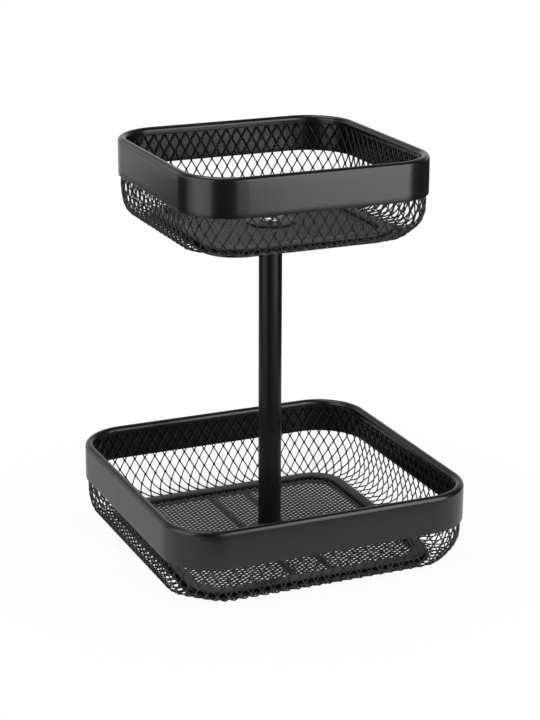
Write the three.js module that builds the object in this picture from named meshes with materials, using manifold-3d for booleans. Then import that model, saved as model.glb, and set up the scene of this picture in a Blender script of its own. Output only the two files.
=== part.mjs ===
// Two-tier storage rack: two rounded-square baskets of expanded steel mesh, a wide one below and
// a smaller one above, on one round post. A chrome cap nut holds the upper basket on the post.
// Millimetres, +Z up. The origin is on the table, under the axis of the post.
import * as THREE from 'three';
import { mergeVertices } from 'three/addons/utils/BufferGeometryUtils.js';
import Module from 'manifold-3d';

// Baskets, measured over their rim bands
const LOWER_SIDE = 260;
const LOWER_CORNER = 43;
const LOWER_HEIGHT = 68;
const LOWER_COLUMNS = 40;
const UPPER_SIDE = 208;
const UPPER_CORNER = 42;
const UPPER_HEIGHT = 67.5;
const UPPER_COLUMNS = 32;

// Rim band: a flat strip with its top edge rolled over inward
const BAND_HEIGHT = 31;
const BAND_SHEET = 1;
const HEM_WIDTH = 7;
const HEM_LEG = 6.5;

// Wall mesh: straight behind the band, then curving in to the base
const WALL_THICKNESS = 1.5;
const WALL_STRAIGHT = 8;
const WALL_SIDE_FULLNESS = 0.76;
const WALL_CORNER_FULLNESS = 0.54;
const WALL_HOLE_ROWS = 4;
const WALL_STRAND = 3;

// Base: foot ring, mesh floor, clamp ring over their joint, and two bars under the floor
const BASE_INSET = 23;
const BASE_CORNER_EASE = 0.6;
const FOOT_THICKNESS = 2.5;
const FOOT_LAP = 1.25;
const FLOOR_THICKNESS = 0.8;
const FLOOR_LAP = 2;
const FLOOR_COLUMN = 26;
const FLOOR_ROW = 17.5;
const FLOOR_STRAND = 4;
const CLAMP_INSET = 1.75;
const CLAMP_WIDTH = 9;
const CLAMP_HEIGHT = 1.9;
const CLAMP_SHEET = 1;
const BAR_WIDTH = 8;
const BAR_THICKNESS = 1.5;
const BAR_CLEARANCE = 0.5;

// Post and the fasteners on its axis
const POST_DIAMETER = 19;
const POST_WALL = 1.2;
const POST_LENGTH = 263;
const PLUG_LENGTH = 16;
const THREAD_DIAMETER = 8;
const HUB_DIAMETER = 40;
const HUB_THICKNESS = 1.5;
const SEAT_WASHER_DIAMETER = 24;
const SEAT_WASHER_THICKNESS = 1.5;
const BOLT_HEAD_DIAMETER = 17;
const BOLT_SOCKET_FLATS = 5;
const BOLT_SOCKET_DEPTH = 1.4;
const NUT_WASHER_DIAMETER = 16;
const NUT_WASHER_THICKNESS = 1.6;
const NUT_FLATS = 13;
const NUT_HEX_HEIGHT = 6.5;
const NUT_HEIGHT = 15;
const NUT_CROWN = 4;
const STUD_TOP_CLEARANCE = 2;

// Clearances between neighbours
const SEAT_GAP = 0.3;
const WALL_GAP = 0.5;
const TABLE_GAP = 0.3;

// Steps of the round stretches
const CORNER_STEPS = 8;
const HEM_STEPS = 6;
const ROUND_STEPS = 32;
const QUARTER = Math.PI / 2;

// Insets of the base's edges from the rim band's outer face
const CLAMP_OUTER = BASE_INSET + CLAMP_INSET;
const CLAMP_INNER = CLAMP_OUTER + CLAMP_WIDTH;
const FLOOR_EDGE = CLAMP_INNER - CLAMP_SHEET - FLOOR_LAP;
const FLANGE_EDGE = FLOOR_EDGE - SEAT_GAP;
const FOOT_INNER = CLAMP_INNER + FOOT_LAP;

// Levels in a basket, counted up from its foot
const BASE_LEVEL = FOOT_THICKNESS + SEAT_GAP;
const FLOOR_TOP = BASE_LEVEL + FLOOR_THICKNESS;
const FLANGE_TOP = BASE_LEVEL + WALL_THICKNESS;
const HUB_LEVEL = FLOOR_TOP + SEAT_GAP;
const HUB_TOP = HUB_LEVEL + HUB_THICKNESS;
const BAR_LEVEL = BASE_LEVEL - SEAT_GAP - BAR_THICKNESS;

// Levels on the post, counted up from the table
const POST_LEVEL = HUB_TOP + SEAT_GAP;
const POST_TOP = POST_LEVEL + POST_LENGTH;
const SEAT_WASHER_LEVEL = POST_TOP + SEAT_GAP;
const UPPER_LEVEL = SEAT_WASHER_LEVEL + SEAT_WASHER_THICKNESS + SEAT_GAP - BASE_LEVEL;
const NUT_WASHER_LEVEL = UPPER_LEVEL + HUB_TOP + SEAT_GAP;
const NUT_LEVEL = NUT_WASHER_LEVEL + NUT_WASHER_THICKNESS + SEAT_GAP;

// Distances from the post's axis
const THREAD_RADIUS = THREAD_DIAMETER / 2;
const CLEAR_RADIUS = THREAD_RADIUS + SEAT_GAP;
const POST_BORE_RADIUS = POST_DIAMETER / 2 - POST_WALL;
const BAR_OFFSET = SEAT_WASHER_DIAMETER / 2 + BAR_CLEARANCE + BAR_WIDTH / 2;

const LOWER = { name: 'lower', side: LOWER_SIDE, corner: LOWER_CORNER, height: LOWER_HEIGHT };
const UPPER = { name: 'upper', side: UPPER_SIDE, corner: UPPER_CORNER, height: UPPER_HEIGHT };

const wasm = await Module();
wasm.setup();

const powderCoat = (color) => new THREE.MeshStandardMaterial({ color, roughness: 0.5, metalness: 0.35 });
const chrome = () => new THREE.MeshStandardMaterial({ color: 0xd8dadd, roughness: 0.12, metalness: 1 });
const zinc = () => new THREE.MeshStandardMaterial({ color: 0xa9adb0, roughness: 0.4, metalness: 1 });

function named(name, geometry, material) {
  const mesh = new THREE.Mesh(geometry, material);
  mesh.name = name;
  return mesh;
}

// A body from vertices and four-sided faces, listed anticlockwise as seen from outside
function quadBody(vertices, quads) {
  const geometry = new THREE.BufferGeometry();
  geometry.setAttribute('position', new THREE.Float32BufferAttribute(vertices.flatMap((v) => v.toArray()), 3));
  geometry.setIndex(quads.flatMap(([a, b, c, d]) => [a, b, c, a, c, d]));
  geometry.computeVertexNormals();
  return geometry;
}

// Booleans
function solid(geometry) {
  const bare = geometry.clone();
  bare.deleteAttribute('normal');
  bare.deleteAttribute('uv');
  const merged = mergeVertices(bare, 1e-4);
  const vertProperties = new Float32Array(merged.attributes.position.array);
  const triVerts = new Uint32Array(merged.index.array);
  return new wasm.Manifold(new wasm.Mesh({ numProp: 3, vertProperties, triVerts }));
}

function fromSolid(manifold) {
  const mesh = manifold.getMesh();
  const geometry = new THREE.BufferGeometry();
  geometry.setAttribute('position', new THREE.BufferAttribute(mesh.vertProperties, 3));
  geometry.setIndex(new THREE.BufferAttribute(mesh.triVerts, 1));
  geometry.computeVertexNormals();
  return geometry;
}

// Outline of a basket at an inset from its rim's outer face. The corner radius shrinks by ease for
// each millimetre of inset: 1 keeps the outlines parallel, less keeps the base rounder.
function outlineAt(basket, inset, ease) {
  return { half: basket.side / 2 - inset, radius: basket.corner - ease * inset };
}

function cornerPoint({ half, radius }, quarter, angle, z) {
  const centre = half - radius;
  const point = new THREE.Vector3(centre + radius * Math.cos(angle), centre + radius * Math.sin(angle), z);
  return point.applyAxisAngle(new THREE.Vector3(0, 0, 1), quarter * QUARTER);
}

// A closed hoop: a section of (inset, height) points carried around a basket's outline
function hoop(basket, section, ease) {
  const vertices = [];
  for (let quarter = 0; quarter < 4; quarter += 1) {
    for (let step = 0; step <= CORNER_STEPS; step += 1) {
      const angle = (step / CORNER_STEPS) * QUARTER;
      section.forEach(({ x, y }) => vertices.push(cornerPoint(outlineAt(basket, x, ease), quarter, angle, y)));
    }
  }
  const around = section.length;
  const stations = vertices.length / around;
  const quads = [];
  for (let station = 0; station < stations; station += 1) {
    const here = station * around;
    const next = ((station + 1) % stations) * around;
    for (let i = 0; i < around; i += 1) {
      const j = (i + 1) % around;
      quads.push([here + i, next + i, next + j, here + j]);
    }
  }
  return quadBody(vertices, quads);
}

// Rim band: up the outer face, over the rolled hem, and back along the inside of the sheet
function rimBand(basket) {
  const outer = HEM_WIDTH / 2;
  const inner = outer - BAND_SHEET;
  const axisHeight = basket.height - outer;
  const hemPoint = (radius, angle) => (
    new THREE.Vector2(outer - radius * Math.cos(angle), axisHeight + radius * Math.sin(angle))
  );
  const section = [new THREE.Vector2(0, basket.height - BAND_HEIGHT)];
  for (let step = 0; step <= HEM_STEPS; step += 1) {
    section.push(hemPoint(outer, (step / HEM_STEPS) * Math.PI));
  }
  section.push(new THREE.Vector2(HEM_WIDTH, basket.height - HEM_LEG));
  section.push(new THREE.Vector2(HEM_WIDTH - BAND_SHEET, basket.height - HEM_LEG));
  for (let step = HEM_STEPS; step >= 0; step -= 1) {
    section.push(hemPoint(inner, (step / HEM_STEPS) * Math.PI));
  }
  section.push(new THREE.Vector2(BAND_SHEET, basket.height - BAND_HEIGHT));
  return hoop(basket, section, 1);
}

// Profile of the wall's outer face as (inset, height): down behind the band, then in to the base. A
// fuller curve keeps further out before it turns in.
function wallProfile(basket, fullness) {
  const wallInset = BAND_SHEET + WALL_GAP;
  const curveTop = basket.height - BAND_HEIGHT - WALL_STRAIGHT;
  const profile = new THREE.Path();
  profile.moveTo(wallInset, basket.height - HEM_WIDTH / 2);
  profile.lineTo(wallInset, curveTop);
  profile.bezierCurveTo(
    wallInset, THREE.MathUtils.lerp(curveTop, BASE_LEVEL, fullness),
    THREE.MathUtils.lerp(BASE_INSET, wallInset, fullness), BASE_LEVEL,
    BASE_INSET, BASE_LEVEL,
  );
  return profile;
}

// Where a share of the way round lies, starting mid-side and going anticlockwise: the quarter, the
// length run along it and the angle reached in its corner. Shares are measured on the rim, so that
// the mesh columns run straight down the wall.
function placeAround(basket, share) {
  const straight = basket.side / 2 - basket.corner;
  const arc = basket.corner * QUARTER;
  const quarter = Math.floor(share * 4);
  const along = (share * 4 - quarter) * (2 * straight + arc);
  const angle = THREE.MathUtils.clamp((along - straight) / arc, 0, 1) * QUARTER;
  return { straight, arc, quarter, along, angle };
}

// A point of a basket's outline at a share of the way round
function wallPoint(basket, share, inset, z) {
  const { straight, arc, quarter, along, angle } = placeAround(basket, share);
  const outline = outlineAt(basket, inset, BASE_CORNER_EASE);
  const point = cornerPoint(outline, 0, angle, z);
  const reach = (outline.half - outline.radius) / straight;
  point.y -= Math.max(straight - along, 0) * reach;
  point.x -= Math.max(along - straight - arc, 0) * reach;
  return point.applyAxisAngle(new THREE.Vector3(0, 0, 1), quarter * QUARTER);
}

// Wall mesh: a net of diamond gaps between an outer and an inner face, solid along both edges.
// Each odd row of gaps is shifted by half a column. The sides belly out further than the corners.
function wallMesh(basket, columns) {
  const sideProfile = wallProfile(basket, WALL_SIDE_FULLNESS);
  const cornerProfile = wallProfile(basket, WALL_CORNER_FULLNESS);
  const rowPitch = 1 / (WALL_HOLE_ROWS + 1);
  const strandShare = WALL_STRAND / sideProfile.getLength();
  const columnWidth = (4 * (basket.side - 2 * basket.corner) + 4 * QUARTER * basket.corner) / columns;
  const strandColumns = WALL_STRAND / columnWidth;
  const vertices = [];
  const quads = [];

  // Adds the vertex on the outer face and, right after it, its partner on the inner face
  function pair(column, down, flange = 0) {
    const share = ((column + columns) % columns) / columns;
    const cornerShare = Math.sin(2 * placeAround(basket, share).angle) ** 2;
    const outer = sideProfile.getPoint(down).lerp(cornerProfile.getPoint(down), cornerShare);
    const tangent = sideProfile.getTangent(down).lerp(cornerProfile.getTangent(down), cornerShare).normalize();
    const inset = outer.x + flange;
    const depth = tangent.clone().set(-tangent.y, tangent.x).multiplyScalar(WALL_THICKNESS);
    vertices.push(wallPoint(basket, share, inset, outer.y));
    vertices.push(wallPoint(basket, share, inset + depth.x, outer.y + depth.y));
    return vertices.length - 2;
  }

  function bothFaces(a, b, c, d) {
    quads.push([a, b, c, d], [d + 1, c + 1, b + 1, a + 1]);
  }

  const rim = (a, b) => quads.push([b, a, a + 1, b + 1]);
  const wrap = (index) => (index + columns) % columns;

  const rows = [];
  for (let row = 1; row <= WALL_HOLE_ROWS; row += 1) {
    const shift = (row % 2) / 2;
    const middle = row * rowPitch;
    const reach = rowPitch - strandShare;
    const halfWidth = 0.5 - strandColumns / 2;
    const gaps = [];
    for (let i = 0; i < columns; i += 1) {
      const column = i + shift;
      const gap = {
        top: pair(column, middle - reach),
        right: pair(column + halfWidth, middle),
        bottom: pair(column, middle + reach),
        left: pair(column - halfWidth, middle),
      };
      gaps.push(gap);
      rim(gap.top, gap.right);
      rim(gap.right, gap.bottom);
      rim(gap.bottom, gap.left);
      rim(gap.left, gap.top);
    }
    rows.push(gaps);
  }

  // Edge vertices above the first row and below the last one: over the gaps and over the knots
  function edge(row, down, flange) {
    const shift = (row % 2) / 2;
    return rows[row - 1].map((gap, i) => ({
      gap: pair(i + shift, down, flange),
      knot: pair(i + shift + 0.5, down, flange),
    }));
  }
  const topEdge = edge(1, 0);
  const bottomEdge = edge(WALL_HOLE_ROWS, 1);
  const flangeEdge = edge(WALL_HOLE_ROWS, 1, FLANGE_EDGE - BASE_INSET);

  rows.forEach((gaps, index) => {
    const odd = (index + 1) % 2;
    const above = rows[index - 1];
    const below = rows[index + 1];
    gaps.forEach((gap, i) => {
      const next = gaps[wrap(i + 1)];
      const knotTop = above ? above[wrap(i + odd)].bottom : topEdge[i].knot;
      const knotBottom = below ? below[wrap(i + odd)].top : bottomEdge[i].knot;
      bothFaces(gap.right, knotBottom, next.left, knotTop);
      if (below) {
        const lowerRight = below[wrap(i + odd)];
        const lowerLeft = below[wrap(i + odd - 1)];
        bothFaces(gap.right, gap.bottom, lowerRight.left, lowerRight.top);
        bothFaces(lowerLeft.top, lowerLeft.right, gap.bottom, gap.left);
      }
    });
  });

  topEdge.forEach((over, i) => {
    const gap = rows[0][i];
    const next = rows[0][wrap(i + 1)];
    const overNext = topEdge[wrap(i + 1)];
    bothFaces(over.gap, gap.top, gap.right, over.knot);
    bothFaces(over.knot, next.left, next.top, overNext.gap);
    rim(over.knot, over.gap);
    rim(overNext.gap, over.knot);
  });

  bottomEdge.forEach((under, i) => {
    const lastRow = rows[WALL_HOLE_ROWS - 1];
    const gap = lastRow[i];
    const next = lastRow[wrap(i + 1)];
    const underNext = bottomEdge[wrap(i + 1)];
    const flange = flangeEdge[i];
    const flangeNext = flangeEdge[wrap(i + 1)];
    bothFaces(gap.bottom, under.gap, under.knot, gap.right);
    bothFaces(next.left, under.knot, underNext.gap, next.bottom);
    bothFaces(under.gap, flange.gap, flange.knot, under.knot);
    bothFaces(under.knot, flange.knot, flangeNext.gap, underNext.gap);
    rim(flange.gap, flange.knot);
    rim(flange.knot, flangeNext.gap);
  });
  return quadBody(vertices, quads);
}

// Clamp ring: a shallow channel, open downward, over the joint of the wall and the floor
function clampRing(basket) {
  const onFlange = FLANGE_TOP + SEAT_GAP;
  const onFloor = FLOOR_TOP + SEAT_GAP;
  const top = onFlange + CLAMP_HEIGHT;
  const section = [
    new THREE.Vector2(CLAMP_OUTER, onFlange),
    new THREE.Vector2(CLAMP_OUTER, top),
    new THREE.Vector2(CLAMP_INNER, top),
    new THREE.Vector2(CLAMP_INNER, onFloor),
    new THREE.Vector2(CLAMP_INNER - CLAMP_SHEET, onFloor),
    new THREE.Vector2(CLAMP_INNER - CLAMP_SHEET, top - CLAMP_SHEET),
    new THREE.Vector2(CLAMP_OUTER + CLAMP_SHEET, top - CLAMP_SHEET),
    new THREE.Vector2(CLAMP_OUTER + CLAMP_SHEET, onFlange),
  ];
  return hoop(basket, section, BASE_CORNER_EASE);
}

function footRing(basket) {
  const section = [
    new THREE.Vector2(BASE_INSET, 0),
    new THREE.Vector2(BASE_INSET, FOOT_THICKNESS),
    new THREE.Vector2(FOOT_INNER, FOOT_THICKNESS),
    new THREE.Vector2(FOOT_INNER, 0),
  ];
  return hoop(basket, section, BASE_CORNER_EASE);
}

// Diamond gaps of a floor, in staggered rows, that lie clear of the clamp ring and the hub
function floorGaps(basket) {
  const { half, radius } = outlineAt(basket, CLAMP_INNER, BASE_CORNER_EASE);
  const bend = half - radius;
  const past = (distance) => Math.max(Math.abs(distance) - bend, 0);
  const clear = ({ x, y }) => (
    Math.hypot(past(x), past(y)) < radius && Math.hypot(x, y) > HUB_DIAMETER / 2
  );
  const cell = new THREE.Vector2(FLOOR_COLUMN / 2, FLOOR_ROW / 2);
  const reach = cell.clone().multiplyScalar(1 - (FLOOR_STRAND * cell.length()) / (2 * cell.x * cell.y));
  const rows = Math.floor(half / cell.y);
  const columns = Math.floor(half / cell.x);
  const gaps = [];
  for (let row = -rows; row <= rows; row += 1) {
    for (let column = -columns; column <= columns; column += 1) {
      const x = column * cell.x;
      const y = row * cell.y;
      const corners = [
        new THREE.Vector2(x + reach.x, y),
        new THREE.Vector2(x, y + reach.y),
        new THREE.Vector2(x - reach.x, y),
        new THREE.Vector2(x, y - reach.y),
      ];
      const inRow = (row + column) % 2 === 0;
      if (inRow && corners.every(clear)) gaps.push(new THREE.Path(corners));
    }
  }
  return gaps;
}

// Floor mesh, as one sheet with diamond gaps and the hole for the thread
function floorMesh(basket) {
  const { half, radius } = outlineAt(basket, FLOOR_EDGE, BASE_CORNER_EASE);
  const centre = half - radius;
  const sheet = new THREE.Shape();
  sheet.absarc(centre, centre, radius, 0, QUARTER);
  sheet.absarc(-centre, centre, radius, QUARTER, 2 * QUARTER);
  sheet.absarc(-centre, -centre, radius, 2 * QUARTER, 3 * QUARTER);
  sheet.absarc(centre, -centre, radius, 3 * QUARTER, 4 * QUARTER);
  const hole = new THREE.Path();
  hole.absarc(0, 0, CLEAR_RADIUS, 0, 4 * QUARTER, true);
  sheet.holes.push(hole, ...floorGaps(basket));
  const geometry = new THREE.ExtrudeGeometry(sheet, {
    depth: FLOOR_THICKNESS, bevelEnabled: false, curveSegments: CORNER_STEPS,
  });
  return geometry.translate(0, 0, BASE_LEVEL);
}

function floorBar(basket, x) {
  const reach = basket.side / 2 - FOOT_INNER - SEAT_GAP;
  const geometry = new THREE.BoxGeometry(BAR_WIDTH, 2 * reach, BAR_THICKNESS);
  return geometry.translate(x, 0, BAR_LEVEL + BAR_THICKNESS / 2);
}

// Round bodies about the post's axis, from (radius, height) points
function turned(points) {
  const profile = points.map(([radius, z]) => new THREE.Vector2(radius, z));
  return new THREE.LatheGeometry(profile, ROUND_STEPS).rotateX(QUARTER);
}

function ring(innerRadius, outerRadius, low, high) {
  return turned([
    [innerRadius, low], [outerRadius, low], [outerRadius, high], [innerRadius, high], [innerRadius, low],
  ]);
}

function rod(radius, low, high) {
  return turned([[0, low], [radius, low], [radius, high], [0, high]]);
}

function hexPrism(flats, low, high) {
  const cornerRadius = flats / 2 / Math.cos(Math.PI / 6);
  const geometry = new THREE.CylinderGeometry(cornerRadius, cornerRadius, high - low, 6);
  return geometry.rotateX(QUARTER).translate(0, 0, (low + high) / 2);
}

// Bolt under the lower floor: a wide thin head with a hexagon socket, and a shank up into the plug
function baseBolt() {
  const headTop = BASE_LEVEL - SEAT_GAP;
  const headBottom = TABLE_GAP;
  const body = turned([
    [0, headBottom],
    [BOLT_HEAD_DIAMETER / 2, headBottom],
    [BOLT_HEAD_DIAMETER / 2, headTop],
    [THREAD_RADIUS, headTop],
    [THREAD_RADIUS, POST_LEVEL + PLUG_LENGTH],
    [0, POST_LEVEL + PLUG_LENGTH],
  ]);
  const socket = hexPrism(BOLT_SOCKET_FLATS, headBottom - SEAT_GAP, headBottom + BOLT_SOCKET_DEPTH);
  return fromSolid(solid(body).subtract(solid(socket)));
}

// Cap nut: hexagon, domed top and a blind thread hole
function capNut() {
  const hexTop = NUT_LEVEL + NUT_HEX_HEIGHT;
  const domeRadius = NUT_FLATS / 2 - SEAT_GAP;
  const domeAxis = NUT_LEVEL + NUT_HEIGHT - domeRadius;
  const dome = [[0, NUT_LEVEL], [domeRadius, NUT_LEVEL], [domeRadius, domeAxis]];
  for (let step = 1; step < HEM_STEPS; step += 1) {
    const angle = (step / HEM_STEPS) * QUARTER;
    dome.push([domeRadius * Math.cos(angle), domeAxis + domeRadius * Math.sin(angle)]);
  }
  dome.push([0, NUT_LEVEL + NUT_HEIGHT]);
  const hex = solid(hexPrism(NUT_FLATS, NUT_LEVEL, hexTop));
  const bore = solid(rod(CLEAR_RADIUS, NUT_LEVEL - SEAT_GAP, NUT_LEVEL + NUT_HEIGHT - NUT_CROWN));
  return fromSolid(hex.add(solid(turned(dome))).subtract(bore));
}

// One basket with everything that is welded to it, standing on its foot
function basketGroup(basket, columns) {
  const group = new THREE.Group();
  const { name } = basket;
  const hub = ring(CLEAR_RADIUS, HUB_DIAMETER / 2, HUB_LEVEL, HUB_TOP);
  group.add(
    named(`${name}_rim_band`, rimBand(basket), powderCoat(0x2c2c2e)),
    named(`${name}_wall_mesh`, wallMesh(basket, columns), powderCoat(0x1d1d1f)),
    named(`${name}_clamp_ring`, clampRing(basket), powderCoat(0x2a2a2c)),
    named(`${name}_foot_ring`, footRing(basket), powderCoat(0x242426)),
    named(`${name}_floor_mesh`, floorMesh(basket), powderCoat(0x222224)),
    named(`${name}_floor_bar_left`, floorBar(basket, -BAR_OFFSET), powderCoat(0x202022)),
    named(`${name}_floor_bar_right`, floorBar(basket, BAR_OFFSET), powderCoat(0x202022)),
    named(`${name}_hub_plate`, hub, powderCoat(0x2e2e30)),
  );
  return group;
}

function postGroup() {
  const group = new THREE.Group();
  const plugRadius = POST_BORE_RADIUS - SEAT_GAP;
  const tube = ring(POST_BORE_RADIUS, POST_DIAMETER / 2, POST_LEVEL, POST_TOP);
  const bottomPlug = ring(CLEAR_RADIUS, plugRadius, POST_LEVEL, POST_LEVEL + PLUG_LENGTH);
  const topPlug = ring(CLEAR_RADIUS, plugRadius, POST_TOP - PLUG_LENGTH, POST_TOP);
  const studTop = NUT_LEVEL + NUT_HEIGHT - NUT_CROWN - STUD_TOP_CLEARANCE;
  const seatWasher = ring(
    CLEAR_RADIUS, SEAT_WASHER_DIAMETER / 2, SEAT_WASHER_LEVEL, SEAT_WASHER_LEVEL + SEAT_WASHER_THICKNESS,
  );
  group.add(
    named('post_tube', tube, powderCoat(0x151516)),
    named('post_bottom_plug', bottomPlug, zinc()),
    named('post_top_plug', topPlug, zinc()),
    named('base_bolt', baseBolt(), zinc()),
    named('top_stud', rod(THREAD_RADIUS, POST_TOP - PLUG_LENGTH, studTop), zinc()),
    named('seat_washer', seatWasher, zinc()),
  );
  return group;
}

function nutGroup() {
  const group = new THREE.Group();
  const washer = ring(
    CLEAR_RADIUS, NUT_WASHER_DIAMETER / 2, NUT_WASHER_LEVEL, NUT_WASHER_LEVEL + NUT_WASHER_THICKNESS,
  );
  group.add(named('nut_washer', washer, chrome()), named('cap_nut', capNut(), chrome()));
  return group;
}

const rack = new THREE.Group();
const upperBasket = basketGroup(UPPER, UPPER_COLUMNS);
upperBasket.position.z = UPPER_LEVEL;
rack.add(basketGroup(LOWER, LOWER_COLUMNS), postGroup(), upperBasket, nutGroup());

export default rack;
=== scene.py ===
# %% [markdown]
# # A two-tier storage rack in black mesh
# The rack has a wide basket below, a smaller one above and one round post between them.
# Each basket is a smooth steel band over a wall of expanded metal, which is sheet that was slit
# and pulled open into diamonds. Everything is powder coated in satin black, apart from one bright
# cap nut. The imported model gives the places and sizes; this lesson dresses it.

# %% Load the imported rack
from math import cos, pi, radians, sin

import bmesh
import bpy
import numpy as np
from mathutils import Matrix, Vector


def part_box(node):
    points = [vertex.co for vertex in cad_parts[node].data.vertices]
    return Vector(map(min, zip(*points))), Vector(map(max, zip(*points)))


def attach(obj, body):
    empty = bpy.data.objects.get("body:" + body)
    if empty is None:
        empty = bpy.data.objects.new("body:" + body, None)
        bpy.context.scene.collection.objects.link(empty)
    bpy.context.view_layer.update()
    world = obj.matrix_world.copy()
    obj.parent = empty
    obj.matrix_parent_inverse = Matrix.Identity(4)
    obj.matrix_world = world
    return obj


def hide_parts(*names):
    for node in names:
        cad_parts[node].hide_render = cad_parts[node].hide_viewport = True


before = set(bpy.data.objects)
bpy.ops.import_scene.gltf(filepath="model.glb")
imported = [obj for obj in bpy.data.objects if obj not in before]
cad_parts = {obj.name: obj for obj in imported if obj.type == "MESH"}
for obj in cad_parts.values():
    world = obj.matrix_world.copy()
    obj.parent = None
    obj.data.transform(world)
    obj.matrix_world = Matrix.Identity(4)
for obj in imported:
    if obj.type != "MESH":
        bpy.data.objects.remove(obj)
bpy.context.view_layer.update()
scene = bpy.context.scene

# %% [markdown]
# ## The camera
# The photograph was taken from a little left of the front and from above the upper rim, with a
# long lens, so the rack's upright lines hardly lean. A camera can be placed by hand or by
# constraint; here its direction is written as two angles around a point on the post, because the
# same angles say which lamp each face of the rack will mirror.

# %% Place the camera
MM = 0.001
FRAME_LONG_SIDE = 720
SENSOR_WIDTH = 36
FOCAL_PIXELS = 1998
VIEW_AZIMUTH = radians(-23.79)
VIEW_ELEVATION = radians(17.99)
VIEW_ROLL = radians(0.2)
VIEW_DISTANCE = 1640
VIEW_CENTRE = Vector((-0.05, 0, 155.3))


def heading(azimuth, elevation):
    """The direction from the rack towards a place in the room, with azimuth 0 in front."""
    level = cos(elevation)
    return Vector((sin(azimuth) * level, -cos(azimuth) * level, sin(elevation)))


def facing_back(direction):
    """The turn of a camera or lamp that stands in a direction and looks back at the rack."""
    return direction.to_track_quat("Z", "Y").to_matrix().to_4x4()


camera_data = bpy.data.cameras.new("camera")
camera_data.sensor_width = SENSOR_WIDTH
camera_data.lens = FOCAL_PIXELS * SENSOR_WIDTH / FRAME_LONG_SIDE
camera = bpy.data.objects.new("camera", camera_data)
scene.collection.objects.link(camera)
towards_camera = heading(VIEW_AZIMUTH, VIEW_ELEVATION)
camera.matrix_world = (
    Matrix.Translation((VIEW_CENTRE + VIEW_DISTANCE * towards_camera) * MM)
    @ facing_back(towards_camera)
    @ Matrix.Rotation(VIEW_ROLL, 4, "Z")
)
scene.camera = camera
camera_place = [round(x, 3) for x in camera.matrix_world.translation]
print("camera at", camera_place, "lens", round(camera_data.lens, 1))

# %% [markdown]
# ## Writing shaders as sums
# A finish is a small graph of nodes. Graphs can be drawn by hand in the editor, but in a script a
# sum such as `0.3 + 0.1 * clouds` is easier to read than a list of links. This class wraps one
# socket: plain operators on it add Math nodes, and one method adds a node of any other type.

# %% A socket that takes part in sums
class Shade:
    """A socket of a node tree. Python's operators on it add Math nodes."""

    def __init__(self, tree, socket=None):
        self.tree = tree
        self.socket = socket

    def node(self, kind, settings=None, inputs=None, out=0):
        """Adds any node: its settings first, then the values or links of its sockets."""
        made = self.tree.nodes.new(kind)
        for name, value in (settings or {}).items():
            setattr(made, name, value)
        for name, value in (inputs or {}).items():
            if isinstance(value, Shade):
                self.tree.links.new(value.socket, made.inputs[name])
            else:
                made.inputs[name].default_value = value
        return Shade(self.tree, made.outputs[out] if len(made.outputs) else None)

    def math(self, operation, first, second):
        return self.node("ShaderNodeMath", {"operation": operation}, {0: first, 1: second})

    def __add__(self, other):
        return self.math("ADD", self, other)

    def __sub__(self, other):
        return self.math("SUBTRACT", self, other)

    def __rsub__(self, other):
        return self.math("SUBTRACT", other, self)

    def __mul__(self, other):
        return self.math("MULTIPLY", self, other)

    __radd__ = __add__
    __rmul__ = __mul__


print("shader sums are ready")

# %% [markdown]
# ## Nodes that every finish needs
# A few nodes come back in each finish: a noise, a mix of two colours, a relief and a smooth step
# between two limits. Node groups could hold them in the editor. In a script a function of one or
# two lines does the same, and its name says what the node is for.

# %% Short names for common nodes
def grey(value):
    return (value, value, value, 1)


def mixed(factor, first, second):
    """A colour between two colours."""
    return factor.node("ShaderNodeMix", {"data_type": "RGBA"}, {0: factor, 6: first, 7: second}, out=2)


def noise(place, scale, detail=2.0):
    wanted = {"Vector": place, "Scale": scale, "Detail": detail}
    return place.node("ShaderNodeTexNoise", inputs=wanted)


def relief(height, depth):
    """A normal that follows small heights, whose depth is in millimetres."""
    wanted = {"Strength": 1.0, "Distance": depth * MM, "Height": height}
    return height.node("ShaderNodeBump", inputs=wanted)


def smooth_step(value, limits, low=0.0, high=1.0):
    """Goes smoothly from low to high while a value passes from one limit to the other."""
    start, end = limits
    wanted = {"Value": value, "From Min": start, "From Max": end, "To Min": low, "To Max": high}
    return value.node("ShaderNodeMapRange", {"interpolation_type": "SMOOTHSTEP"}, wanted)


def start_finish(name):
    material = bpy.data.materials.new(name)
    material.use_nodes = True
    material.node_tree.nodes.clear()
    return material, Shade(material.node_tree)


def finish_surface(shade, sockets):
    surface = shade.node("ShaderNodeBsdfPrincipled", inputs=sockets)
    shade.node("ShaderNodeOutputMaterial", inputs={"Surface": surface})


print("common nodes have short names")

# %% [markdown]
# ## Satin black powder coat
# Powder coat is plastic dust that is melted onto steel. It dries with a faint orange-peel ripple
# about a millimetre or two across, tiny pits, and a gloss that drifts a little over the sheet. An
# image of scratched paint would tile and repeat, so three noises of different sizes make it: a
# wide one for the drift, a middle one for the ripple and a fine one for the grain. They read
# object coordinates, so the grain has its true size and turns with its piece.

# %% Make the powder coat
WIDE_DRIFT = 22
PEEL_RIPPLE = 620
FINE_GRAIN = 2600
COLOUR_DRIFT = 0.7
GLOSS_DRIFT = 0.06
GLOSS_GRAIN = 0.04
PEEL_SHARE = 0.8


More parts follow.
